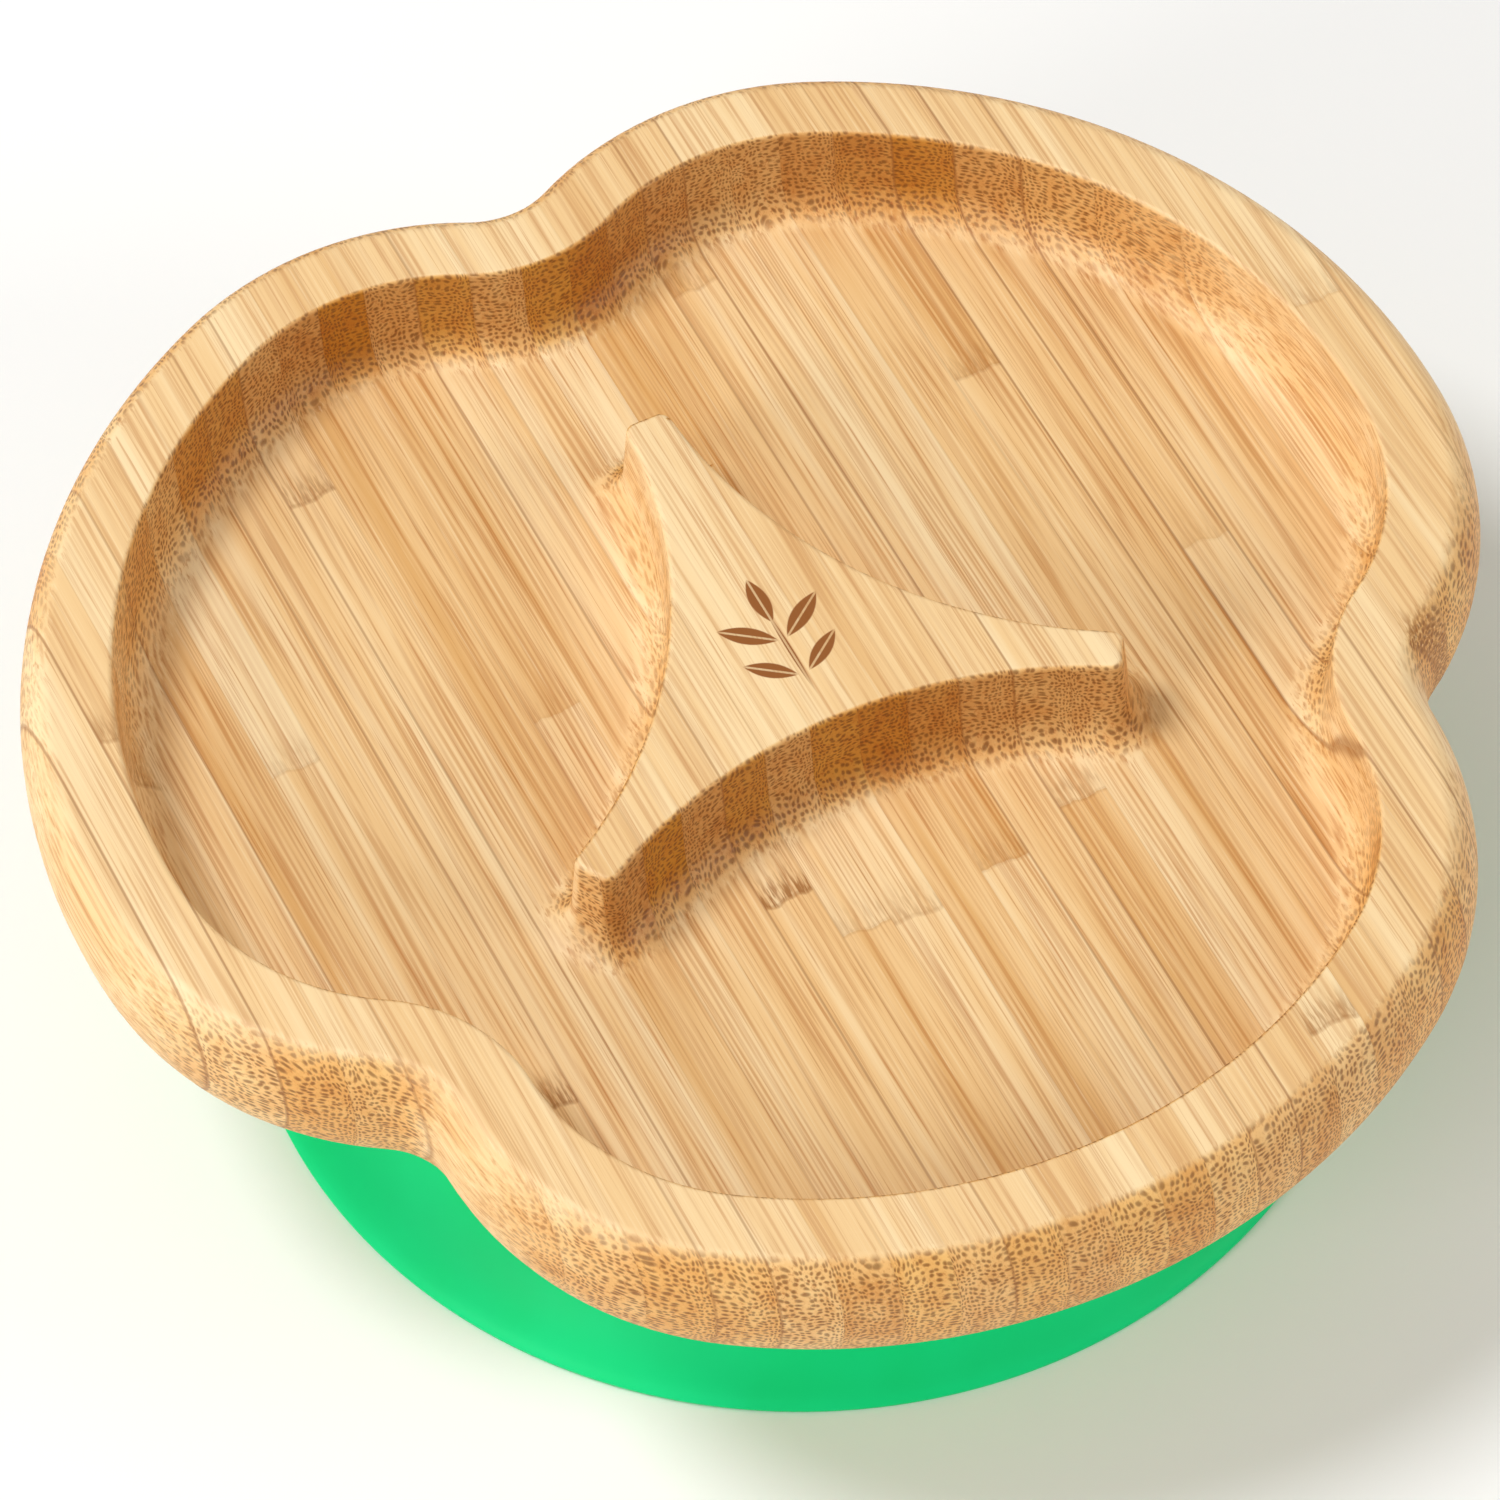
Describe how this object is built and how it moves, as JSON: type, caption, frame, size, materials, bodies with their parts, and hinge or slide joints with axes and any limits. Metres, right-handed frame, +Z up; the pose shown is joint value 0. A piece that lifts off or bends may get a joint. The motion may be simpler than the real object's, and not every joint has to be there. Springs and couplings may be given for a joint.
{
  "type": "suction plate",
  "caption": "Three-lobed divided bamboo plate for a small child, with a raised three-armed divider, standing on a flared silicone suction ring.",
  "frame": {"origin": "middle of the bounding box on the table top, which is also the suction ring's centre; the plate's three lobes are spaced around an axis 4.3 mm further along +Y", "axes": "+Z up; the bamboo's grain runs along Y and its strips are stacked along X; one lobe points along -Y and one notch along +Y"},
  "size_m": [0.18, 0.174, 0.0555],
  "materials": {
    "bamboo": "satin oiled bamboo, fine straight grain along Y, vertical laminate",
    "silicone": "matte food-grade silicone, plain green"
  },
  "bodies": {
    "skirt": {"suction_skirt": "silicone"},
    "collar": {"seating_collar": "silicone"},
    "plate": {"bamboo_strip_01": "bamboo", "bamboo_strip_02": "bamboo", "bamboo_strip_03": "bamboo", "bamboo_strip_04": "bamboo", "bamboo_strip_05": "bamboo", "bamboo_strip_06": "bamboo", "bamboo_strip_07": "bamboo", "bamboo_strip_08": "bamboo", "bamboo_strip_09": "bamboo", "bamboo_strip_10": "bamboo", "bamboo_strip_11": "bamboo", "bamboo_strip_12": "bamboo", "bamboo_strip_13": "bamboo", "bamboo_strip_14": "bamboo", "bamboo_strip_15": "bamboo", "bamboo_strip_16": "bamboo", "bamboo_strip_17": "bamboo", "bamboo_strip_18": "bamboo", "bamboo_strip_19": "bamboo", "bamboo_strip_20": "bamboo", "bamboo_strip_21": "bamboo", "bamboo_strip_22": "bamboo", "bamboo_strip_23": "bamboo", "bamboo_strip_24": "bamboo", "bamboo_strip_25": "bamboo", "bamboo_strip_26": "bamboo", "bamboo_strip_27": "bamboo", "bamboo_strip_28": "bamboo", "bamboo_strip_29": "bamboo"}
  },
  "joints": [
    {"name": "press_down", "type": "slide", "parent": "skirt", "child": "collar", "axis": [0, 0, -1], "range_m": [0, 0.006], "stiffness_N_per_m": 2500, "springref_m": -0.004, "deforming": ["suction_skirt"]},
    {"name": "lift_off", "type": "slide", "parent": "collar", "child": "plate", "axis": [0, 0, 1], "range_m": [0, 0.03]}
  ]
}
